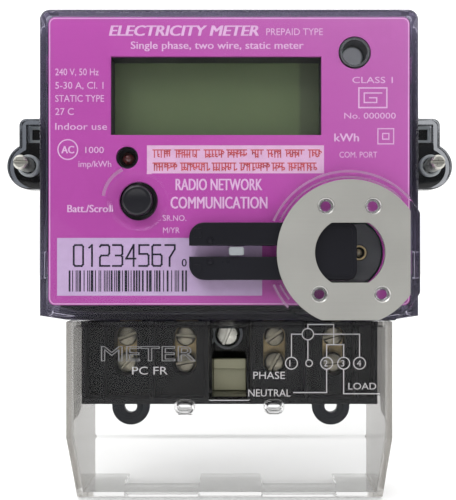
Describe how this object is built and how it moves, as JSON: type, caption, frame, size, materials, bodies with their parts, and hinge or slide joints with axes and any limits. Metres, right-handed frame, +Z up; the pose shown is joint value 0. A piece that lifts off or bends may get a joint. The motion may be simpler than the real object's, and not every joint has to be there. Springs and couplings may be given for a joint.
{
  "type": "prepaid electricity meter",
  "caption": "Wall-mounted single-phase electricity meter: clear sealed cover, display, button, optical port with sliding shutter, terminal block under a clear removable cover.",
  "frame": {"origin": "centre of the meter case's flat back face, on the wall", "axes": "+Z up, -Y towards the viewer (out from the wall), +X to the viewer's right; the back face lies in the plane y = 0"},
  "size_m": [0.1582, 0.0615, 0.1703],
  "materials": {
    "clear": "clear smoke-tinted polycarbonate, polished",
    "base_slate": "dark slate-grey moulded plastic, fine satin",
    "gasket": "black elastomer",
    "face_magenta": "magenta printed plastic plate, semi-gloss",
    "lcd_frame": "black moulded plastic",
    "lcd_glass": "olive liquid-crystal panel behind smooth glass",
    "white_plastic": "white diffusing plastic",
    "plated_steel": "nickel-plated steel, slightly dulled",
    "button_black": "black moulded plastic, satin gloss",
    "black_plastic": "black moulded plastic",
    "block_black": "black moulded phenolic, semi-gloss",
    "dark_grey_plastic": "dark grey moulded plastic",
    "port_steel": "satin steel plate",
    "lens_red": "dark red clear lens",
    "circuit_board": "green solder mask on fibreglass",
    "shield_steel": "tinned steel can",
    "copper": "bare copper alloy",
    "battery_wrap": "shrink-wrapped cell",
    "varistor_coat": "epoxy-coated ceramic disc",
    "terminal_brass": "machined brass"
  },
  "bodies": {
    "meter_case": {"main_cover": "clear", "base_tray": "base_slate", "case_gasket": "gasket", "name_plate": "face_magenta", "lcd_bezel": "lcd_frame", "lcd_panel": "lcd_glass", "lcd_backlight": "white_plastic", "infrared_emitter": "white_plastic", "lcd_pin_row": "plated_steel", "button_spring": "plated_steel", "seal_screw_left": "plated_steel", "seal_screw_right": "plated_steel", "board_screw_1": "plated_steel", "board_screw_2": "plated_steel", "board_screw_3": "plated_steel", "board_screw_4": "plated_steel", "battery_cradle": "black_plastic", "lamp_sleeve": "black_plastic", "bulk_capacitor": "black_plastic", "processor_chip": "black_plastic", "terminal_block_left": "block_black", "terminal_bridge": "block_black", "terminal_block_right": "block_black", "port_holder": "dark_grey_plastic", "tact_switch": "dark_grey_plastic", "cover_switch": "dark_grey_plastic", "latching_relay": "dark_grey_plastic", "film_capacitor": "dark_grey_plastic", "port_plate": "port_steel", "pulse_lamp": "lens_red", "infrared_receiver": "lens_red", "main_board": "circuit_board", "radio_board": "circuit_board", "radio_shield": "shield_steel", "radio_antenna": "copper", "current_shunt": "copper", "backup_battery": "battery_wrap", "surge_varistor": "varistor_coat", "terminal_1": "terminal_brass", "terminal_2": "terminal_brass", "terminal_3": "terminal_brass", "terminal_4": "terminal_brass", "neutral_link": "terminal_brass", "relay_strip": "terminal_brass", "hood_screw_insert": "terminal_brass", "seal_nut_left": "terminal_brass", "seal_nut_right": "terminal_brass"},
    "scroll_button": {"scroll_button": "button_black"},
    "port_shutter": {"port_shutter": "black_plastic"},
    "terminal_cover": {"terminal_cover": "clear"},
    "terminal_cover_screw": {"terminal_cover_screw": "plated_steel"},
    "terminal_screw_1a": {"terminal_screw_1a": "plated_steel"},
    "terminal_screw_1b": {"terminal_screw_1b": "plated_steel"},
    "terminal_screw_2a": {"terminal_screw_2a": "plated_steel"},
    "terminal_screw_2b": {"terminal_screw_2b": "plated_steel"},
    "terminal_screw_3a": {"terminal_screw_3a": "plated_steel"},
    "terminal_screw_3b": {"terminal_screw_3b": "plated_steel"},
    "terminal_screw_4a": {"terminal_screw_4a": "plated_steel"},
    "terminal_screw_4b": {"terminal_screw_4b": "plated_steel"}
  },
  "joints": [
    {"name": "scroll_button_press", "type": "slide", "parent": "meter_case", "child": "scroll_button", "axis": [0, 1, 0], "range_m": [0, 0.0015], "stiffness_N_per_m": 400, "springref_m": -0.001},
    {"name": "shutter_slide", "type": "slide", "parent": "meter_case", "child": "port_shutter", "axis": [1, 0, 0], "range_m": [-0.014, 0.009]},
    {"name": "terminal_cover_remove", "type": "slide", "parent": "meter_case", "child": "terminal_cover", "axis": [0, -1, 0], "range_m": [0, 0.06]},
    {"name": "terminal_cover_screw_turn", "type": "hinge", "parent": "terminal_cover", "child": "terminal_cover_screw", "pos_m": [-0.0009, -0.0283, -0.0595], "axis": [0, -1, 0], "continuous": true},
    {"name": "terminal_screw_1a_turn", "type": "hinge", "parent": "meter_case", "child": "terminal_screw_1a", "pos_m": [-0.0373, -0.031, -0.0599], "axis": [0, -1, 0], "continuous": true},
    {"name": "terminal_screw_1b_turn", "type": "hinge", "parent": "meter_case", "child": "terminal_screw_1b", "pos_m": [-0.0373, -0.031, -0.0694], "axis": [0, -1, 0], "continuous": true},
    {"name": "terminal_screw_2a_turn", "type": "hinge", "parent": "meter_case", "child": "terminal_screw_2a", "pos_m": [-0.0161, -0.031, -0.0599], "axis": [0, -1, 0], "continuous": true},
    {"name": "terminal_screw_2b_turn", "type": "hinge", "parent": "meter_case", "child": "terminal_screw_2b", "pos_m": [-0.0161, -0.031, -0.0694], "axis": [0, -1, 0], "continuous": true},
    {"name": "terminal_screw_3a_turn", "type": "hinge", "parent": "meter_case", "child": "terminal_screw_3a", "pos_m": [0.0161, -0.031, -0.0599], "axis": [0, -1, 0], "continuous": true},
    {"name": "terminal_screw_3b_turn", "type": "hinge", "parent": "meter_case", "child": "terminal_screw_3b", "pos_m": [0.0161, -0.031, -0.0694], "axis": [0, -1, 0], "continuous": true},
    {"name": "terminal_screw_4a_turn", "type": "hinge", "parent": "meter_case", "child": "terminal_screw_4a", "pos_m": [0.0373, -0.031, -0.0599], "axis": [0, -1, 0], "continuous": true},
    {"name": "terminal_screw_4b_turn", "type": "hinge", "parent": "meter_case", "child": "terminal_screw_4b", "pos_m": [0.0373, -0.031, -0.0694], "axis": [0, -1, 0], "continuous": true}
  ]
}
